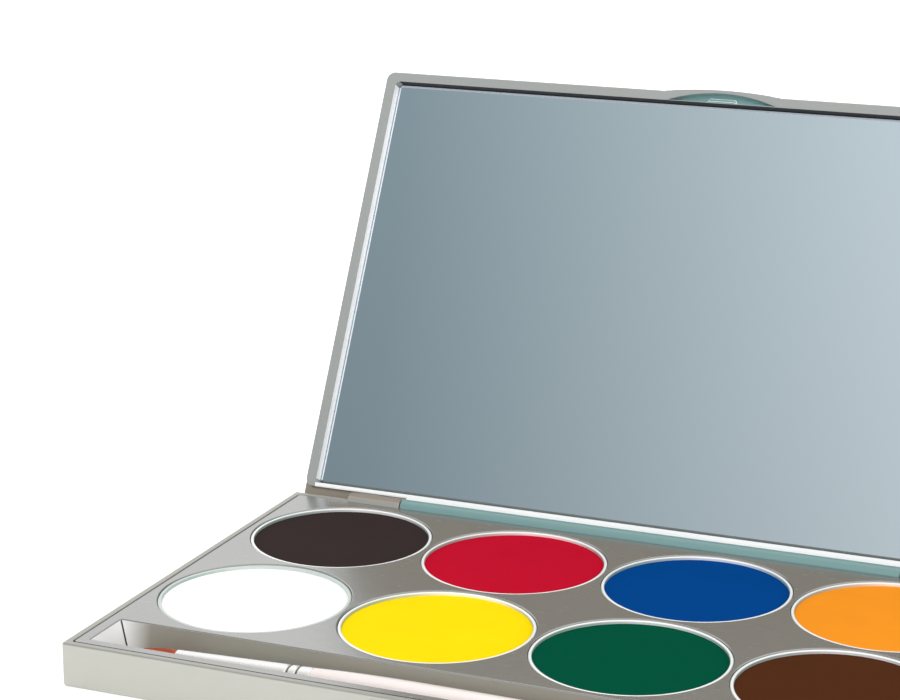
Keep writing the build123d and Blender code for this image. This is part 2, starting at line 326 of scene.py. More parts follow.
def bevelWithPaintedGlow():
    # hand-polished bevel of the glass: a pale milky line round the reflection, a painted highlight that glows
    # by itself
    material, tree, shader = startMaterial("glass bevel with painted glowing highlight")
    spot = addNode(tree, "ShaderNodeTexCoord").outputs["Object"]
    streak = addNode(tree, "ShaderNodeTexNoise", {"Scale": per(1.11), "Detail": 2.0}, {"Vector": spot})
    gloss = addNode(tree, "ShaderNodeMapRange",
                    {"From Min": 0.3, "From Max": 0.7, "To Min": 0.2, "To Max": 0.32},
                    {"Value": streak.outputs["Fac"]})
    tree.links.new(gloss.outputs["Result"], shader.inputs["Roughness"])
    setShader(shader, {"Base Color": toLinear("#D6DCE2"), "Metallic": 0.15,
                       "Emission Color": toLinear("#C8D3DF"), "Emission Strength": 0.4})
    return material


def troughWithPaintedHighlight():
    # silk-metallised trough with painted reflection: brownish grey along its back, a painted white highlight
    # where it runs out at the hair end
    material, tree, shader = startMaterial("silk metallised trough with painted highlight")
    spot = addNode(tree, "ShaderNodeTexCoord").outputs["Object"]
    split = addNode(tree, "ShaderNodeSeparateXYZ", {}, {"Vector": spot})
    run = addNode(tree, "ShaderNodeMapRange", {"From Min": -79.0 * mm, "From Max": -72.5 * mm},
                  {"Value": split.outputs["X"]})
    shade = addNode(tree, "ShaderNodeValToRGB", {}, {"Fac": run.outputs["Result"]})
    setRamp(shade, [(0.0, toLinear("#FFFFFF")), (1.0, toLinear("#A39F94"))])
    tree.links.new(shade.outputs["Color"], shader.inputs["Base Color"])
    addGrain(tree, shader, spot, skinPeel, 0.08)
    setShader(shader, {"Metallic": 0.3, "Roughness": 0.5})
    return material


def paintedShadePlastic():
    # painted shade inside the case, in the seams and creases: a dark matt grey with a spark-eroded grain
    material, tree, shader = startMaterial("dark grey painted shade in seams and hollows")
    spot = addNode(tree, "ShaderNodeTexCoord").outputs["Object"]
    addGrain(tree, shader, spot, 0.2, 0.3)
    setShader(shader, {"Base Color": toLinear("#26282A"), "Roughness": 0.6, "Specular IOR Level": 0.3})
    return material


def paintCake(name, tone):
    # pressed water-based cake: matt and even, with fine pigment grain and a faint poured swell
    material, tree, shader = startMaterial(name)
    spot = addNode(tree, "ShaderNodeTexCoord").outputs["Object"]
    base = toLinear(tone)
    drift = addNode(tree, "ShaderNodeTexNoise", {"Scale": per(9.09), "Detail": 4.0, "Roughness": 0.55},
                    {"Vector": spot})
    shade = addNode(tree, "ShaderNodeValToRGB", {}, {"Fac": drift.outputs["Fac"]})
    setRamp(shade, [(0.3, scaled(base, 0.97)), (0.5, base), (0.72, scaled(base, 1.02))])
    tree.links.new(shade.outputs["Color"], shader.inputs["Base Color"])
    grain = addNode(tree, "ShaderNodeTexNoise", {"Scale": per(0.278), "Detail": 3.0, "Roughness": 0.6},
                    {"Vector": spot})
    swell = addNode(tree, "ShaderNodeTexNoise", {"Scale": per(5.88), "Detail": 2.0}, {"Vector": spot})
    coarse = addNode(tree, "ShaderNodeBump", {"Strength": 0.15, "Distance": 0.12 * mm},
                     {"Height": swell.outputs["Fac"]})
    fine = addNode(tree, "ShaderNodeBump", {"Strength": 0.35, "Distance": 0.03 * mm},
                   {"Height": grain.outputs["Fac"], "Normal": coarse.outputs["Normal"]})
    tree.links.new(fine.outputs["Normal"], shader.inputs["Normal"])
    dull = addNode(tree, "ShaderNodeMapRange",
                   {"From Min": 0.3, "From Max": 0.7, "To Min": 0.8, "To Max": 0.95},
                   {"Value": grain.outputs["Fac"]})
    tree.links.new(dull.outputs["Result"], shader.inputs["Roughness"])
    setShader(shader, {"Specular IOR Level": 0.02})
    return material


def silveredGlass():
    # float glass silvered behind: a clean cool reflection with the odd faint smear
    material, tree, shader = startMaterial("silvered float glass")
    spot = addNode(tree, "ShaderNodeTexCoord").outputs["Object"]
    smear = addNode(tree, "ShaderNodeTexNoise",
                    {"Scale": per(18.2), "Detail": 5.0, "Roughness": 0.6, "Distortion": 0.6},
                    {"Vector": spot})
    haze = addNode(tree, "ShaderNodeMapRange",
                   {"From Min": 0.45, "From Max": 0.75, "To Min": 0.012, "To Max": 0.05},
                   {"Value": smear.outputs["Fac"]})
    tree.links.new(haze.outputs["Result"], shader.inputs["Roughness"])
    setShader(shader, {"Base Color": toLinear("#D3DBDE"), "Metallic": 1.0})
    return material


def glassEdge():
    # ground edge of float glass: dim green-blue, slightly frosted by 0.4 mm grinding marks
    material, tree, shader = startMaterial("ground glass edge")
    spot = addNode(tree, "ShaderNodeTexCoord").outputs["Object"]
    addGrain(tree, shader, spot, 0.4, 0.3)
    setShader(shader, {"Base Color": toLinear("#5E8C8A"), "Roughness": 0.3, "Specular IOR Level": 0.6})
    return material


def turnedAluminium():
    # drawn and polished aluminium sleeve: bright, with turning rings felt only in the polish
    material, tree, shader = startMaterial("polished aluminium sleeve")
    spot = addNode(tree, "ShaderNodeTexCoord").outputs["Object"]
    rings = addStreaks(tree, spot, (0.714, 16.7, 16.7))
    polish = addNode(tree, "ShaderNodeMapRange",
                     {"From Min": 0.3, "From Max": 0.7, "To Min": 0.27, "To Max": 0.29},
                     {"Value": rings})
    tree.links.new(polish.outputs["Result"], shader.inputs["Roughness"])
    setShader(shader, {"Base Color": toLinear("#F8F8F8"), "Metallic": 0.6})
    return material


def handleLacquer():
    # dipped gloss lacquer over wood: pale warm white with a soft long grain ghosting through
    material, tree, shader = startMaterial("pale gloss lacquer on wood")
    spot = addNode(tree, "ShaderNodeTexCoord").outputs["Object"]
    grain = addStreaks(tree, spot, (33.3, 1.11, 1.11), 3.0)
    shade = addNode(tree, "ShaderNodeValToRGB", {}, {"Fac": grain})
    setRamp(shade, [(0.35, toLinear("#E9DCD9")), (0.65, toLinear("#F2E9E6"))])
    tree.links.new(shade.outputs["Color"], shader.inputs["Base Color"])
    bump = addNode(tree, "ShaderNodeBump", {"Strength": 0.12, "Distance": 0.03 * mm}, {"Height": grain})
    tree.links.new(bump.outputs["Normal"], shader.inputs["Normal"])
    setShader(shader, {"Roughness": 0.32, "Coat Weight": 0.7, "Coat Roughness": 0.08})
    return material


def brushFilament():
    # crimped synthetic filament: orange-brown hairs, each its own shade, with a silky run of light
    material, tree, shader = startMaterial("orange-brown filament")
    spot = addNode(tree, "ShaderNodeTexCoord").outputs["Object"]
    streak = addStreaks(tree, spot, (11.1, 0.192, 0.192))  # one hair wide
    shade = addNode(tree, "ShaderNodeValToRGB", {}, {"Fac": streak})
    setRamp(shade, [(0.3, toLinear("#8E3A20")), (0.55, toLinear("#C4562F")), (0.75, toLinear("#DE7A4B"))])
    tree.links.new(shade.outputs["Color"], shader.inputs["Base Color"])
    setShader(shader, {"Roughness": 0.42, "Sheen Weight": 0.3, "Sheen Roughness": 0.4})
    return material


def plainMetal(name, tone, rough):
    # drawn metal: cool grey with a dull polish and draw marks, made 0.17 mm wide so that they show
    material, tree, shader = startMaterial(name)
    spot = addNode(tree, "ShaderNodeTexCoord").outputs["Object"]
    draw = addStreaks(tree, spot, (12.5, 0.167, 0.167))
    bump = addNode(tree, "ShaderNodeBump", {"Strength": 0.3, "Distance": 0.01 * mm}, {"Height": draw})
    tree.links.new(bump.outputs["Normal"], shader.inputs["Normal"])
    setShader(shader, {"Base Color": toLinear(tone), "Metallic": 1.0, "Roughness": rough})
    return material


def foamTape():
    # closed-cell foam: soft off-white with half-millimetre pores
    material, tree, shader = startMaterial("white foam tape")
    spot = addNode(tree, "ShaderNodeTexCoord").outputs["Object"]
    pores = addNode(tree, "ShaderNodeTexVoronoi", {"Scale": per(0.556)}, {"Vector": spot})
    bump = addNode(tree, "ShaderNodeBump", {"Strength": 0.4, "Distance": 0.05 * mm},
                   {"Height": pores.outputs["Distance"]})
    tree.links.new(bump.outputs["Normal"], shader.inputs["Normal"])
    setShader(shader, {"Base Color": toLinear("#E8E6E0"), "Roughness": 0.8})
    return material


caseSilver = metallisedPlastic("satin metallised case", "#B9B9B2", 0.42, 0.10, 0.7)
plateSilver = metallisedPlastic("bright metallised insert", "#B8B9B7", 0.24, 0.08, 0.88)
lidSilver = metallisedPlastic("satin metallised lid", "#A5A8A6", 0.5, 0.10, 0.35)
silverPaintedReflection = paintedReflectionPlating()
# painted highlight: plain white on the catch, lip, pocket walls and rear edge of the lid
paintedHighlightWhite = metallisedPlastic("pocket edge with painted highlight", "#FFFFFF", 0.3, 0.04, 0.0)
# darker warm grey on the knuckles of the base and the ears of the lid
warmSilver = metallisedPlastic("darker warm grey hinge edge", "#9C9084", 0.45, 0.06, 0.4)
panPaintedReflection = panWithPaintedReflection("bright plated pan with painted side reflection", "#FEFEFE")
panPaintedShade = panWithPaintedReflection("plated pan with painted shade", "#C9D1CE")  # a darker copy with painted shade, so that its wall shows against the white paint
troughPaintedHighlight = troughWithPaintedHighlight()
seamShade = paintedShadePlastic()
mirrorFace = silveredGlass()
mirrorEdge = glassEdge()
mirrorBevelPaintedGlow = bevelWithPaintedGlow()
sleeveMetal = turnedAluminium()
lacquer = handleLacquer()
filament = brushFilament()
pinSteel = plainMetal("drawn steel pin", "#B9BBBE", 0.3)
crimpPaintedShade = plainMetal("crimp grooves with painted shade", "#8D8985", 0.4)
tape = foamTape()
print("finishes made")


# case base with its hinge knuckles; every size is in mm
case = {
    "width": 167.0, "depth": 102.0, "height": 9.1, "wall": 1.5, "floor": 1.4,
    "cornerRadius": 0.6, "bottomRadius": 0.7, "rimRadius": 0.45, "innerRimRadius": 0.25,
    "innerCornerRadius": 0.8, "ledge": 0.5, "plateBottom": 8.0,
    "scoopWidth": 36.0, "scoopLow": 1.9, "scoopHigh": 8.55, "scoopDepth": 0.6,
    "scoopRadius": 1.6, "scoopEdge": 0.3,
    "nibWidth": 6.0, "nibRear": -49.85, "nibThickness": 0.5, "nibHeight": 1.0,
    "nibSink": 0.6, "nibRadius": 0.15,
}
hinge = {
    "y": 51.5, "z": 8.4, "radius": 2.0, "relief": 2.35, "outerX": 70.0, "innerX": 57.2,
    "barrelX": 56.9, "gussetDrop": 5.0, "knuckleEdge": 0.35,
    "pinRadius": 0.8, "pinBore": 0.85, "pinDepth": 12.5, "openAngle": 118.2,
}


def knuckle(side):
    # rounded knuckle with a sloping gusset that carries it on the rear wall
    low, high = sorted((side * hinge["outerX"], side * hinge["innerX"]))
    wallY, rearY = (case["depth"] - case["wall"]) / 2, hinge["y"] + hinge["radius"]
    foot = hinge["z"] - hinge["gussetDrop"]
    gusset = bmesh.new()
    face = flatFace(gusset, [(low, wallY, hinge["z"]), (low, rearY, hinge["z"]),
                             (low, case["depth"] / 2, foot), (low, wallY, foot)])
    pushFace(gusset, face, (high - low, 0, 0))
    barrel = hingeRod(low, high, hinge["radius"], 48)
    ends = lambda co: min(abs(co.x - low * mm), abs(co.x - high * mm)) < 1e-6
    roundEdges(barrel, ends, hinge["knuckleEdge"], 3, 60)
    return combine(gusset, barrel, "UNION")


def scoopBlock():
    # what the thumb scoop takes out of the front wall, with soft inner corners
    low, high, frontY = case["scoopLow"], case["scoopHigh"], -case["depth"] / 2
    bm = bmesh.new()
    size = Vector((case["scoopWidth"], 2 * case["scoopDepth"], high - low)) * mm
    place = Matrix.Translation(corner(0, frontY, (low + high) / 2)) @ Matrix.Diagonal((*size, 1))
    bmesh.ops.create_cube(bm, size=1, matrix=place)
    bevelEdges(bm, edgesAlong(bm, 1, case["scoopDepth"]), case["scoopRadius"], 8)
    back = lambda co: abs(co.y - (frontY + case["scoopDepth"]) * mm) < 1e-6
    roundEdges(bm, back, case["scoopEdge"], 3, 60)
    return bm


def catchNib():
    # upright nib that the catch of the lid snaps over
    half, rear, top = case["nibWidth"] / 2, case["nibRear"], case["height"]
    bm = slab((-half, rear - case["nibThickness"], top - case["nibSink"]),
              (half, rear, top + case["nibHeight"]), case["nibRadius"], 2)
    roundEdges(bm, atHeight(top + case["nibHeight"]), case["nibRadius"], 2)
    return bm


def barrelRoom():
    # room in the base and the insert for the barrel of the lid
    return hingeRod(-hinge["innerX"], hinge["innerX"], hinge["relief"], 64)


def buildBase():
    halfW, halfD, top = case["width"] / 2, case["depth"] / 2, case["height"]
    bm = slab((-halfW, -halfD, 0), (halfW, halfD, top), case["cornerRadius"], 10)
    roundEdges(bm, atHeight(0), case["bottomRadius"], 6)
    roundEdges(bm, atHeight(top), case["rimRadius"], 4)
    wall = case["wall"]
    for inset, floor in ((wall, case["plateBottom"]), (wall + case["ledge"], case["floor"])):
        hollow = slab((-halfW + inset, -halfD + inset, floor), (halfW - inset, halfD - inset, top + 1),
                      case["innerCornerRadius"])
        bm = combine(bm, hollow, "DIFFERENCE")

    def onInnerRim(co):
        return atHeight(top)(co) and abs(co.x) < (halfW - wall + 0.01) * mm \
            and abs(co.y) < (halfD - wall + 0.01) * mm

    roundEdges(bm, onInnerRim, case["innerRimRadius"], 3)
    bm = combine(bm, scoopBlock(), "DIFFERENCE")
    bm = combine(bm, barrelRoom(), "DIFFERENCE")
    for side in (-1, 1):
        bm = combine(bm, knuckle(side), "UNION")
        bore = hingeRod(side * (hinge["outerX"] + 1), side * (hinge["innerX"] - 1), hinge["pinRadius"], 32)
        bm = combine(bm, bore, "DIFFERENCE")
    bm = combine(bm, catchNib(), "UNION")

    def onKnuckle(c, n):
        return hinge["innerX"] - 0.1 < abs(c.x) < hinge["outerX"] + 0.1 \
            and c.y > halfD - 0.8 and n.y < 0.2 and c.z > hinge["z"]

    # the inner walls below the rim take the painted shade
    def inside(c, n):
        return 1 < c.z < top - 0.24 and abs(c.x) < halfW - wall + 0.02 and abs(c.y) < halfD - wall + 0.02

    dressFaces(bm, [(2, onKnuckle), (1, inside)])
    return finishPiece("caseBase", bm, "base", "base_shell", [caseSilver, seamShade, warmSilver])


buildBase()
print("case base built")


# silver insert with eight wells and the brush trough
insert = {
    "plateTop": 9.0, "plateBottom": 8.0, "sideGap": 0.3, "cornerRadius": 0.65,
    "wellRadius": 19.8, "wellWall": 0.8, "wellBottom": 2.4, "cupBottom": 1.4, "rimRadius": 0.24,
    "overlap": 0.2,
    "pitchX": 40.4, "pitchY": 40.8, "rowOffset": 6.75,
    "troughFront": -47.0, "troughBack": -35.0, "troughHalf": 79.5, "sideSlope": 1.2, "endSlope": 2.2,
    "troughFloor": 2.4, "troughWall": 0.7, "troughRimRadius": 0.25, "creaseWidth": 0.22,
}
paintRows = [["white", "yellow", "green", "brown"], ["black", "red", "blue", "orange"]]


def wellPlaces():
    # colour name and centre of every well, front row first
    return [(name, (column - 1.5) * insert["pitchX"], insert["rowOffset"] + (row - 0.5) * insert["pitchY"])
            for row, names in enumerate(paintRows) for column, name in enumerate(names)]


def troughBlock(grow, top):
    # block whose four walls slope in towards its floor
    low = insert["troughFloor"] - grow
    drop = insert["plateTop"] - insert["troughFloor"]
    bm = slab((-1, -1, low), (1, 1, top), 0)
    for v in bm.verts:
        down = 1 - (v.co.z / mm - insert["troughFloor"]) / drop
        half = insert["troughHalf"] - insert["endSlope"] * down + grow
        front = insert["troughFront"] + insert["sideSlope"] * down - grow
        back = insert["troughBack"] - insert["sideSlope"] * down + grow
        v.co.x = half * mm * (1 if v.co.x > 0 else -1)
        v.co.y = (back if v.co.y > 0 else front) * mm
    bevelEdges(bm, edgesAlong(bm, 2, 1), insert["creaseWidth"], 1)
    return bm


def buildInsert():
    top, bottom, seat = insert["plateTop"], insert["plateBottom"], insert["plateTop"] - insert["overlap"]
    reachX = case["width"] / 2 - case["wall"] - insert["sideGap"]
    reachY = case["depth"] / 2 - case["wall"] - insert["sideGap"]
    bm = slab((-reachX, -reachY, bottom), (reachX, reachY, top), insert["cornerRadius"])
    for name, x, y in wellPlaces():
        cup = drum(x, y, insert["cupBottom"], seat, insert["wellRadius"] + insert["wellWall"], 96)
        bm = combine(bm, cup, "UNION")
    bm = combine(bm, troughBlock(insert["troughWall"], seat), "UNION")
    holes = bmesh.new()
    for name, x, y in wellPlaces():
        merge(holes, drum(x, y, insert["wellBottom"], top + 1, insert["wellRadius"], 128))
    bm = combine(bm, holes, "DIFFERENCE")
    bm = combine(bm, troughBlock(0, top + 1), "DIFFERENCE")
    bm = combine(bm, barrelRoom(), "DIFFERENCE")

    def onWellRim(co):
        away = [(co.xy - Vector((x, y)) * mm).length for name, x, y in wellPlaces()]
        return atHeight(top)(co) and any(abs(a - insert["wellRadius"] * mm) < 2e-5 for a in away)

    def onTroughRim(co):
        return atHeight(top)(co) and abs(co.x) < (insert["troughHalf"] + 0.05) * mm \
            and (insert["troughFront"] - 0.05) * mm < co.y < (insert["troughBack"] + 0.05) * mm

    # the trough takes the painted white highlight fading to painted brownish grey
    def inTrough(c, n):
        return c.z < seat and insert["troughFront"] - 0.1 < c.y < insert["troughBack"] + 0.1

    # the creases of the trough and the sides in the seam take the painted shade
    def inCrease(c, n):
        return inTrough(c, n) and abs(n.x) > 0.4 and abs(n.y) > 0.4

    def onSide(c, n):
        return abs(n.z) < 0.3 and (abs(c.x) > reachX - 0.1 or abs(c.y) > reachY - 0.1)

    roundEdges(bm, onWellRim, insert["rimRadius"], 4)
    roundEdges(bm, onTroughRim, insert["troughRimRadius"], 3)
    dressFaces(bm, [(1, inTrough), (2, inCrease), (2, onSide)])
    return finishPiece("insertTray", bm, "base", "insert_tray", [plateSilver, troughPaintedHighlight, seamShade])


buildInsert()
print("insert built")


# refill pans and the paint cast in them
pan = {
    "radius": 19.45, "wall": 0.5, "bottomThickness": 0.8, "bottom": 2.4, "rim": 8.85,
    "footRadius": 0.5, "rollOut": 0.25, "rollDrop": 0.5, "steps": 128,
}
paint = {
    "level": 8.1, "meniscus": 0.08, "meniscusReach": 0.9, "swell": 0.035, "swellWidth": 7.7, "rings": 14,
    "tones": {
        "white": "#FBFBF9", "yellow": "#FBDA0D", "green": "#004E38", "brown": "#4E2B17",
        "black": "#362D2C", "red": "#BE102C", "blue": "#004288", "orange": "#F29425",
    },
}


def buildPan(name, x, y):
    outer, inner = pan["radius"], pan["radius"] - pan["wall"]
    low, rim, floor = pan["bottom"], pan["rim"], pan["bottom"] + pan["bottomThickness"]
    foot, lip = pan["footRadius"], outer + pan["rollOut"]
    half = (lip - inner) / 2
    profile = [(0, low), (outer - foot, low)]
    for step in range(1, 5):
        turn = pi / 8 * step
        profile.append((outer - foot + foot * sin(turn), low + foot - foot * cos(turn)))
    # the rim rolls outwards over the well
    profile += [(outer, rim - pan["rollDrop"]), (lip, rim - half * 0.8)]
    for step in range(9):
        turn = pi / 8 * step
        profile.append((lip - half + half * cos(turn), rim - half * 0.6 + half * 0.6 * sin(turn)))
    profile += [(inner, floor), (0, floor)]
    bm = lathe(profile, pan["steps"], Matrix.Translation(corner(x, y, 0)))
    # the white pan takes the darker copy with painted shade
    plating = panPaintedShade if name == "white" else panPaintedReflection
    finishPiece("pan_" + name + "_cup", bm, "refill_" + name, "pan_" + name, [plating], 50)


def buildPaint(name, x, y, index):
    radius, low, level = pan["radius"] - pan["wall"], pan["bottom"] + pan["bottomThickness"], paint["level"]
    inner = radius - paint["meniscusReach"]
    profile = [(0, low), (radius, low), (radius, level + paint["meniscus"])]
    for k in range(1, 7):  # the paint climbs a little where it dried against the cup
        t = k / 6
        profile.append((radius - paint["meniscusReach"] * t, level + paint["meniscus"] * (1 - t) ** 3))
    profile += [(inner * (1 - k / paint["rings"]), level) for k in range(1, paint["rings"] + 1)]
    bm = lathe(profile, 96, Matrix.Translation(corner(x, y, 0)))
    for v in bm.verts:
        if v.co.z > (level - 0.3) * mm:  # poured surface, never quite level
            fade = min(1.0, (radius * mm - (v.co.xy - Vector((x, y)) * mm).length) / (2 * mm))
            elsewhere = Vector((index * 7.3, 0, 0))  # so that no two cakes swell alike
            wave = noise.noise(v.co / (paint["swellWidth"] * mm) + elsewhere)
            v.co.z += paint["swell"] * mm * fade * wave
    cake = paintCake(name + " face paint cake", paint["tones"][name])
    finishPiece("paint_" + name + "_cake", bm, "refill_" + name, "paint_" + name, [cake], 40)


for index, (name, x, y) in enumerate(wellPlaces()):
    buildPan(name, x, y)
    buildPaint(name, x, y, index)
print("pans and paint built")


# lid, drawn closed and then opened, and its mirror
lid = {
    "width": 165.0, "front": -51.3, "rear": 49.2, "low": 9.2, "high": 15.2,
    "cornerRadius": 2.0, "topRadius": 1.6, "faceRadius": 0.5, "rearWall": 1.0,
    "sideRim": 2.6, "frontRim": 2.3, "pocketTop": 13.6, "pocketRadius": 1.2,
    "lipWidth": 27.0, "lipBulge": 0.9, "lipHeight": 3.0, "lipWall": 0.8, "lipEdge": 0.25,
    "recessDepth": 1.6, "recessMargin": 0.15,
    "catchRoot": 7.6, "catchTip": 6.0, "catchReach": 0.5, "catchHeight": 1.2,
    "plateReach": 1.25, "plateHeight": 0.55, "plateBevel": 0.15,
    "earInner": 70.3, "earDepth": 4.6, "earRear": 51.2, "earLow": 0.9, "earHigh": 4.0, "earEdge": 0.25,
    "webSink": 0.5,
}
glass = {"recess": 1.8, "thickness": 2.0, "gap": 0.15, "radius": 1.05, "bevel": 0.7}


def opened(bm):
    # turns a piece drawn closed about the hinge to where it rests open
    turn = Matrix.Translation(corner(0, hinge["y"], hinge["z"])) \
        @ Matrix.Rotation(-radians(hinge["openAngle"]), 4, "X") \
        @ Matrix.Translation(corner(0, -hinge["y"], -hinge["z"]))
    bmesh.ops.transform(bm, matrix=turn, verts=bm.verts)
    return bm


def arcBlock(width, baseY, apexY, low, high, innerY):
    # block with a front that bulges in an arc; one vertex is spun along the arc
    half, rise = width / 2, baseY - apexY
    radius = (half * half + rise * rise) / (2 * rise)
    sweep = 2 * (half / radius) * (1 + (half / radius) ** 2 / 6)
    bm = bmesh.new()
    start = bm.verts.new(corner(-half, baseY, low))
    bmesh.ops.spin(bm, geom=[start], cent=corner(0, apexY + radius, low), axis=(0, 0, 1),
                   angle=sweep, steps=32)
    chain = sorted(bm.verts, key=lambda v: v.co.x)
    for edge in bm.edges[:]:
        bm.edges.remove(edge)
    if innerY > baseY:
        chain += [bm.verts.new(corner(x, innerY, low)) for x in (half, -half)]
    return pushFace(bm, bm.faces.new(chain), (0, 0, high - low))


def catchBlock(rootY, roof, reach, height):
    # trapezoid block that hangs from the roof of the recess
    root, tip, tipY = lid["catchRoot"] / 2, lid["catchTip"] / 2, rootY - reach
    low = roof - height
    bm = bmesh.new()
    face = flatFace(bm, [(-root, rootY + 0.1, low), (root, rootY + 0.1, low),
                         (tip, tipY, low), (-tip, tipY, low)])
    pushFace(bm, face, (0, 0, height + 0.2))
    roundEdges(bm, atHeight(low), lid["plateBevel"], 1, 60)
    return bm


def cornerEar(side):
    # block that closes a lower corner of the lid down on the case beside its knuckle
    low, high = sorted((side * lid["earInner"], side * lid["width"] / 2))
    rear = lid["earRear"]
    bm = slab((low, rear - lid["earDepth"], lid["low"] + lid["earLow"]),
              (high, rear, lid["low"] + lid["earHigh"]), lid["earEdge"], 3)
    roundEdges(bm, lambda co: co.y > (rear - 0.3) * mm, 0.2, 3, 60)
    return bm


def dressLid(bm, rootY, roof):
    # gives the barrel, recess, catch, rims and seams of the closed lid their own finishes: painted
    # reflection, painted highlight and painted shade
    low, rear, inner = lid["low"], lid["rear"], lid["width"] / 2 - lid["sideRim"]
    lipFront, pocketFront = lid["front"] - lid["lipBulge"], lid["front"] + lid["frontRim"]
    pocketRear = rear - lid["rearWall"]
    cuts = [((0, pocketRear, 0), (0, 1, 0)), ((inner, 0, 0), (1, 0, 0)), ((-inner, 0, 0), (1, 0, 0))]
    for place, normal in cuts:  # parts the flat face of the frame where its finish changes
        bmesh.ops.bisect_plane(bm, geom=bm.verts[:] + bm.edges[:] + bm.faces[:],
                               plane_co=corner(*place), plane_no=normal)

    # the barrel and the recess take the painted blue-green reflection
    def onBarrel(c, n):
        away = (Vector((c.y, c.z)) - Vector((hinge["y"], hinge["z"]))).length
        return abs(c.x) < hinge["barrelX"] + 0.2 and (c.y > rear + 0.1 or away < hinge["radius"] + 0.05)

    def inLens(c, n):
        return low + 0.35 < c.z < roof + 0.05 and lipFront + 0.5 < c.y < pocketFront - 0.1 \
            and abs(c.x) < lid["lipWidth"] / 2 - 0.5

    def inRecess(c, n):
        return inLens(c, n) and n.y > -0.3

    # the catch, lip, pocket side walls and rear edge take the painted white highlight
    def onCatch(c, n):
        return inLens(c, n) and abs(c.x) < lid["catchRoot"] / 2 + 0.05 and abs(n.z) < 0.9 \
            and rootY - lid["plateReach"] - 0.05 < c.y and c.z < roof - 0.05

    def onLip(c, n):
        return c.y < lid["front"] - 0.02 and abs(n.x) > 0.08 and n.y < -0.3 and abs(n.z) < 0.8 \
            and c.z < low + lid["lipHeight"]

    def onWall(c, n):
        return abs(n.x) > 0.7 and inner - 0.1 < abs(c.x) < inner + 0.1 and low < c.z < lid["pocketTop"]

    def onRear(c, n):
        return abs(c.x) < inner and n.z < -0.3 and c.y > pocketRear - 0.01 and c.z < low + 0.5 \
            and not onBarrel(c, n)

    def onEar(c, n):
        return n.z < -0.3 and c.y > rear - 0.01 and abs(c.x) > lid["earInner"] - 0.1 and c.z > low + 0.5

    # the step behind the ears and the front wall of the pocket take the painted shade
    def onStep(c, n):
        return n.y > 0.5 and abs(c.y - rear) < 0.05 and c.z < low + lid["earLow"] + 0.1

    def inShade(c, n):
        return n.y > 0.7 and abs(c.y - pocketFront) < 0.1 and c.z > low

    dressFaces(bm, [(1, onBarrel), (1, inRecess), (2, onCatch), (2, onLip), (2, onWall), (2, onRear),
                    (4, onEar), (3, onStep), (3, inShade)])


def buildLid():
    half, low, high, front = lid["width"] / 2, lid["low"], lid["high"], lid["front"]
    bm = slab((-half, front, low), (half, lid["rear"], high), lid["cornerRadius"], 10)
    roundEdges(bm, atHeight(high), lid["topRadius"], 6)
    roundEdges(bm, atHeight(low), lid["faceRadius"], 3)
    # thumb lip, then the lens-shaped recess under it with the trapezoid catch on its wider bevelled plate
    lipFront = front - lid["lipBulge"]
    lip = arcBlock(lid["lipWidth"], front, lipFront, low, low + lid["lipHeight"], front + 1)
    onBulge = lambda co: co.y < (front + 0.01) * mm and abs(co.x) < (lid["lipWidth"] / 2 + 0.01) * mm
    roundEdges(lip, onBulge, lid["lipEdge"], 3, 40)
    bm = combine(bm, lip, "UNION")
    rootY, roof = front + lid["frontRim"] - lid["recessMargin"], low + lid["recessDepth"]
    recess = arcBlock(lid["lipWidth"] - 2 * lid["lipWall"], rootY, lipFront + lid["lipWall"],
                      low - 0.5, roof, rootY)
    bm = combine(bm, recess, "DIFFERENCE")
    bm = combine(bm, catchBlock(rootY, roof, lid["catchReach"], lid["catchHeight"]), "UNION")
    bm = combine(bm, catchBlock(rootY, roof, lid["plateReach"], lid["plateHeight"]), "UNION")
    # hinge barrel with the web that joins it to the rear wall
    reach = hinge["barrelX"]
    bm = combine(bm, hingeRod(-reach, reach, hinge["radius"], 64), "UNION")
    web = slab((-reach, lid["rear"] - lid["webSink"], low),
               (reach, hinge["y"], hinge["z"] + hinge["radius"]), 0)
    bm = combine(bm, web, "UNION")
    for side in (-1, 1):
        bm = combine(bm, cornerEar(side), "UNION")
    pocket = slab((-half + lid["sideRim"], front + lid["frontRim"], low - 1),
                  (half - lid["sideRim"], lid["rear"] - lid["rearWall"], lid["pocketTop"]),
                  lid["pocketRadius"], 6)
    bm = combine(bm, pocket, "DIFFERENCE")
    for side in (-1, 1):
        bore = hingeRod(side * (reach - hinge["pinDepth"]), side * (reach + 1), hinge["pinBore"], 32)
        bm = combine(bm, bore, "DIFFERENCE")
    dressLid(bm, rootY, roof)
    finishes = [lidSilver, silverPaintedReflection, paintedHighlightWhite, seamShade, warmSilver]
    return finishPiece("lidFrame", opened(bm), "lid", "lid_shell", finishes)


def buildMirror():
    gap, low = glass["gap"], lid["low"] + glass["recess"]
    half = lid["width"] / 2 - lid["sideRim"] - gap
    bm = slab((-half, lid["front"] + lid["frontRim"] + gap, low),
              (half, lid["rear"] - lid["rearWall"] - gap, low + glass["thickness"]), glass["radius"], 5)
    roundEdges(bm, atHeight(low), glass["bevel"], 1, 60)
    bmesh.ops.recalc_face_normals(bm, faces=bm.faces)
    onSides = lambda c, n: n.z > -0.3
    onBevel = lambda c, n: -0.95 < n.z < -0.3 and n.y < 0.3
    dressFaces(bm, [(1, onSides), (2, onBevel)])  # ground sides, bevel with a painted glowing highlight
    return finishPiece("mirrorGlass", opened(bm), "lid", "mirror", [mirrorFace, mirrorEdge, mirrorBevelPaintedGlow], 20)


buildLid()
buildMirror()
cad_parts["mirror_pad"].data.materials[0] = tape  # the tape and the pins are shown as the solids are
for side in ("left", "right"):
    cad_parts["hinge_pin_" + side].data.materials[0] = pinSteel
print("lid and mirror built")


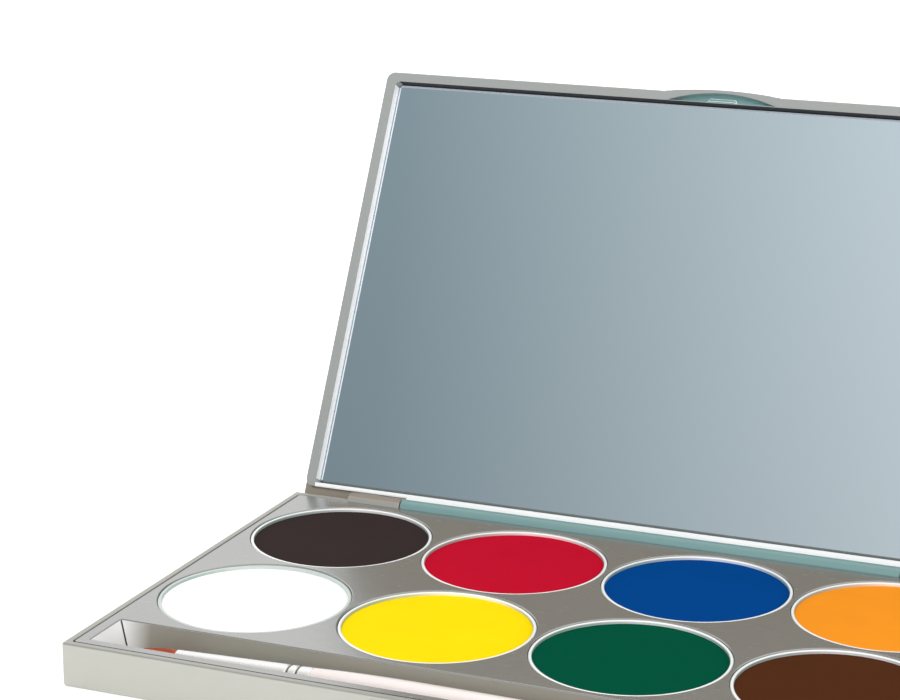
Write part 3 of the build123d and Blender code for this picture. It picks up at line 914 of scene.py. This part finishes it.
# brush lying in the trough, its hair to the left
brush = {
    "y": -41.5, "z": 5.5, "tipX": -71.6, "hairLength": 8.4, "rootDepth": 1.2, "rootDisc": 0.6,
    "ferruleLength": 29.3, "mouthRadius": 1.75, "rearRadius": 2.6, "wall": 0.25,
    "crimpFromRear": 2.9, "crimpSpacing": 2.0, "crimpWidth": 0.6, "crimpDepth": 0.32,
    "belly": 3.1, "neck": 2.6, "end": 1.7, "handleLength": 105.0, "bellyAt": 0.2,
    "tenonLength": 12.0, "tenonRadius": 1.75,
    "strands": 520, "strandRadius": 0.075, "strandSteps": 6, "strandTaper": 0.72,
    "pointDome": 1.1, "pointScatter": 0.35, "lean": 0.08, "bulge": 0.12, "gather": 0.3, "seed": 11,
}
brush["mouthX"] = brush["tipX"] + brush["hairLength"]
brush["rearX"] = brush["mouthX"] + brush["ferruleLength"]
brush["endX"] = brush["rearX"] + brush["handleLength"]
alongX = Matrix.Translation(corner(0, brush["y"], brush["z"])) @ Matrix.Rotation(pi / 2, 4, "Y")
goldenAngle = pi * (3 - sqrt(5))  # spreads the strands evenly over the mouth


def ferruleRadius(x):
    share = (x - brush["mouthX"]) / brush["ferruleLength"]
    return brush["mouthRadius"] + share * (brush["rearRadius"] - brush["mouthRadius"])


def buildFerrule():
    mouth, rear, tenon = brush["mouthX"], brush["rearX"], brush["tenonRadius"]
    bore = brush["mouthRadius"] - brush["wall"]
    deep = mouth + brush["rootDepth"] + brush["rootDisc"]
    profile = [(0, deep), (bore, deep), (bore, mouth)]
    profile += [(ferruleRadius(mouth) - 0.1, mouth), (ferruleRadius(mouth), mouth + 0.12)]
    for count in (1, 0):
        x = rear - brush["crimpFromRear"] - count * brush["crimpSpacing"]
        for k in range(-6, 7):  # each crimp is one smooth hollow
            dip = brush["crimpDepth"] * (0.5 + 0.5 * cos(pi * k / 6))
            profile.append((ferruleRadius(x) - dip, x + brush["crimpWidth"] * k / 6))
    profile += [(ferruleRadius(rear), rear - 0.12), (ferruleRadius(rear) - 0.1, rear)]
    profile += [(tenon, rear), (tenon, rear - brush["tenonLength"]), (0, rear - brush["tenonLength"])]
    bm = lathe(profile, 64, alongX)
    axis = Vector((brush["y"], brush["z"]))

    def inCrimp(c, n):
        return rear - 8 < c.x < rear - 2 and 2 < (Vector((c.y, c.z)) - axis).length < ferruleRadius(c.x) - 0.2

    # the crimp hollows take a darker metal as painted shade
    dressFaces(bm, [(1, inCrimp)])
    finishPiece("brushFerrule", bm, "brush", "brush_ferrule", [sleeveMetal, crimpPaintedShade])


def handleRadius(x):
    # short swell to the belly, then a long taper
    belly = brush["rearX"] + brush["bellyAt"] * brush["handleLength"]
    if x < belly:
        t = (belly - x) / (belly - brush["rearX"])
        return brush["belly"] - (brush["belly"] - brush["neck"]) * t * t
    t = (x - belly) / (brush["endX"] - brush["end"] - belly)
    return brush["belly"] - (brush["belly"] - brush["end"]) * t * t


def buildHandle():
    rear, end, cap = brush["rearX"], brush["endX"], brush["end"]
    last, steps = end - cap, 48
    profile = [(0, rear - brush["tenonLength"]), (brush["tenonRadius"], rear - brush["tenonLength"]),
               (brush["tenonRadius"], rear), (brush["neck"] - 0.12, rear), (brush["neck"], rear + 0.15)]
    for k in range(1, steps + 1):
        x = rear + (last - rear) * k / steps
        profile.append((handleRadius(x), x))
    for k in range(1, 10):
        turn = pi / 2 * k / 10
        profile.append((cap * cos(turn), last + cap * sin(turn)))
    profile.append((0, end))
    finishPiece("brushHandle", lathe(profile, 64, alongX), "brush", "brush_handle", [lacquer])


def buildHair():
    # one tapered strand is copied, bent along the tuft and merged in, some hundreds of times
    dice = random.Random(brush["seed"])
    root, tip = brush["mouthX"] + brush["rootDepth"], brush["tipX"]
    bore = brush["mouthRadius"] - brush["wall"] - 0.1
    blank = bmesh.new()
    bmesh.ops.create_cone(blank, cap_ends=True, segments=5, radius1=1.0, radius2=1.0, depth=1.0,
                          matrix=Matrix.Translation((0, 0, 0.5)))
    lengthwise = [e for e in blank.edges if abs(e.verts[0].co.z - e.verts[1].co.z) > 0.5]
    bmesh.ops.subdivide_edges(blank, edges=lengthwise, cuts=brush["strandSteps"])
    shape = bpy.data.meshes.new("strand")
    blank.to_mesh(shape)
    blank.free()
    bm = rod(root, root + brush["rootDisc"], brush["y"], brush["z"], bore + 0.1, 32)
    for count in range(brush["strands"]):
        spread = sqrt((count + 0.5) / brush["strands"])
        turn = count * goldenAngle
        u, v = bore * spread * cos(turn), bore * spread * sin(turn)
        reach = tip + brush["pointDome"] * spread ** 3 + dice.uniform(0, brush["pointScatter"])
        lean = Vector([dice.uniform(-brush["lean"], brush["lean"]) for side in "uv"])
        one = shape.copy()
        for vert in one.vertices:
            t = vert.co.z
            x = root + 0.1 + (reach - root - 0.1) * t
            # out to a slight belly, then in to the point
            gather = 1 + brush["bulge"] * sin(pi * min(1, t * 1.2)) - brush["gather"] * t ** 3
            thick = brush["strandRadius"] * (1 - brush["strandTaper"] * t ** 3)
            vert.co = corner(x, brush["y"] + u * gather + lean.x * t + vert.co.x * thick,
                             brush["z"] + v * gather + lean.y * t + vert.co.y * thick)
        bm.from_mesh(one)
        bpy.data.meshes.remove(one)
    bpy.data.meshes.remove(shape)
    bmesh.ops.recalc_face_normals(bm, faces=bm.faces)
    finishPiece("brushHair", bm, "brush", "brush_hair", [filament], 60)


buildFerrule()
buildHandle()
buildHair()
print("brush built")


# pale studio, lamps and the camera at the photograph's angle
studio = {
    "floorSize": 6000.0, "floorTone": "#F4F4F2", "floorGlow": 0.5, "floorDrop": 0.02,
    "lens": 104.03, "azimuth": -23.227, "elevation": 15.097, "distance": 512.9, "target": (-23.29, 0.0, 61.6),
    "worldStrength": 1.0, "ceilingTone": "#BCAB9A",
    "wallTones": ((0.0, "#76868E"), (0.3, "#96A4AB"), (0.62, "#E2E8EC"), (1.0, "#FFFFFF")),
    "softboxes": (("overheadBox", (-250, -350, 950), (0, 0, 0), 700, 4.2),
                  ("sideBox", (900, -500, 600), (0, 0, 30), 600, 2.4)),
}
white = (1.0, 1.0, 1.0, 1.0)


def buildFloor():
    bm = bmesh.new()
    bmesh.ops.create_grid(bm, x_segments=1, y_segments=1, size=studio["floorSize"] * mm / 2)
    mesh = bpy.data.meshes.new("studioFloor")
    bm.to_mesh(mesh)
    bm.free()
    floor = bpy.data.objects.new("studioFloor", mesh)
    bpy.context.collection.objects.link(floor)
    floor.location.z = -studio["floorDrop"] * mm
    material, tree, shader = startMaterial("pale studio paper")
    setShader(shader, {"Base Color": toLinear(studio["floorTone"]), "Roughness": 0.9,
                       "Specular IOR Level": 0.1, "Emission Color": white})
    path = addNode(tree, "ShaderNodeLightPath")
    seen = addNode(tree, "ShaderNodeMath", {"operation": "MAXIMUM"},
                   {0: path.outputs["Is Camera Ray"], 1: path.outputs["Is Glossy Ray"]})
    seen = addNode(tree, "ShaderNodeMath", {"operation": "MAXIMUM"},
                   {0: seen.outputs["Value"], 1: path.outputs["Is Transmission Ray"]})
    glow = addNode(tree, "ShaderNodeMath", {"operation": "MULTIPLY", 1: studio["floorGlow"]},
                   {0: seen.outputs["Value"]})
    tree.links.new(glow.outputs["Value"], shader.inputs["Emission Strength"])
    mesh.materials.append(material)


def buildWorld():
    # white walls up to the horizon line and a dim ceiling, as a product table has
    world = bpy.data.worlds.new("studioRoom")
    bpy.context.scene.world = world
    world.use_nodes = True
    tree = world.node_tree
    tree.nodes.clear()
    way = addNode(tree, "ShaderNodeTexCoord").outputs["Generated"]
    split = addNode(tree, "ShaderNodeSeparateXYZ", {}, {"Vector": way})
    side = addNode(tree, "ShaderNodeMapRange", {"From Min": -0.62, "From Max": 0.1},
                   {"Value": split.outputs["X"]})
    wall = addNode(tree, "ShaderNodeValToRGB", {}, {"Fac": side.outputs["Result"]})  # darker to the left
    setRamp(wall, [(place, toLinear(tone)) for place, tone in studio["wallTones"]])
    lift = addNode(tree, "ShaderNodeMapRange",
                   {"From Min": 0.5, "From Max": 0.7, "To Min": 0.90, "To Max": 1.19},
                   {"Value": split.outputs["Z"]})
    wall = addNode(tree, "ShaderNodeVectorMath", {"operation": "SCALE"},
                   {0: wall.outputs["Color"], "Scale": lift.outputs["Result"]})
    crown = addNode(tree, "ShaderNodeMapRange",
                    {"interpolation_type": "SMOOTHSTEP", "From Min": 0.70, "From Max": 0.86},
                    {"Value": split.outputs["Z"]})
    upper = addNode(tree, "ShaderNodeMix", {"data_type": "RGBA", 7: toLinear(studio["ceilingTone"])},
                    {"Factor": crown.outputs["Result"], 6: wall.outputs["Vector"]})
    rise = addNode(tree, "ShaderNodeMapRange",
                   {"interpolation_type": "SMOOTHSTEP", "From Min": 0.22, "From Max": 0.48},
                   {"Value": split.outputs["Z"]})
    front = addNode(tree, "ShaderNodeMapRange",
                    {"interpolation_type": "SMOOTHSTEP", "From Min": 0.2, "From Max": -0.1},
                    {"Value": split.outputs["Y"]})
    share = addNode(tree, "ShaderNodeMath", {"operation": "MULTIPLY"},
                    {0: rise.outputs["Result"], 1: front.outputs["Result"]})
    room = addNode(tree, "ShaderNodeMix", {"data_type": "RGBA", 6: white},
                   {"Factor": share.outputs["Value"], 7: upper.outputs[2]})  # dim only high up in front
    dim = addNode(tree, "ShaderNodeBackground", {"Strength": studio["worldStrength"]},
                  {"Color": room.outputs[2]})
    plain = addNode(tree, "ShaderNodeBackground", {"Color": white, "Strength": 1.0})
    path = addNode(tree, "ShaderNodeLightPath")
    mix = addNode(tree, "ShaderNodeMixShader", {},
                  {0: path.outputs["Is Camera Ray"], 1: dim.outputs["Background"],
                   2: plain.outputs["Background"]})
    addNode(tree, "ShaderNodeOutputWorld", {}, {"Surface": mix.outputs["Shader"]})


def addSoftbox(name, place, aim, size, watts):
    light = bpy.data.lights.new(name, "AREA")
    light.shape, light.size, light.energy = "SQUARE", size * mm, watts
    light.color = (0.94, 0.975, 1.0)
    lamp = bpy.data.objects.new(name, light)
    lamp.visible_glossy = False  # the room alone is mirrored
    bpy.context.collection.objects.link(lamp)
    place, aim = corner(*place), corner(*aim)
    lamp.location = place
    lamp.rotation_euler = (aim - place).to_track_quat("-Z", "Y").to_euler()
    return lamp


def buildCamera():
    data = bpy.data.cameras.new("photoCamera")
    data.lens, data.sensor_width, data.sensor_fit = studio["lens"], 36.0, "HORIZONTAL"
    data.clip_start, data.clip_end = 0.01, 50.0
    camera = bpy.data.objects.new("photoCamera", data)
    bpy.context.collection.objects.link(camera)
    turn, tilt = radians(studio["azimuth"]), radians(studio["elevation"])
    ahead = Vector((sin(turn) * cos(tilt), cos(turn) * cos(tilt), -sin(tilt)))
    camera.location = corner(*studio["target"]) - ahead * studio["distance"] * mm
    camera.rotation_euler = ahead.to_track_quat("-Z", "Y").to_euler()
    bpy.context.scene.camera = camera


buildFloor()
buildWorld()
for softbox in studio["softboxes"]:
    addSoftbox(*softbox)
buildCamera()
bpy.context.scene.view_settings.view_transform = "Standard"
print("studio ready")
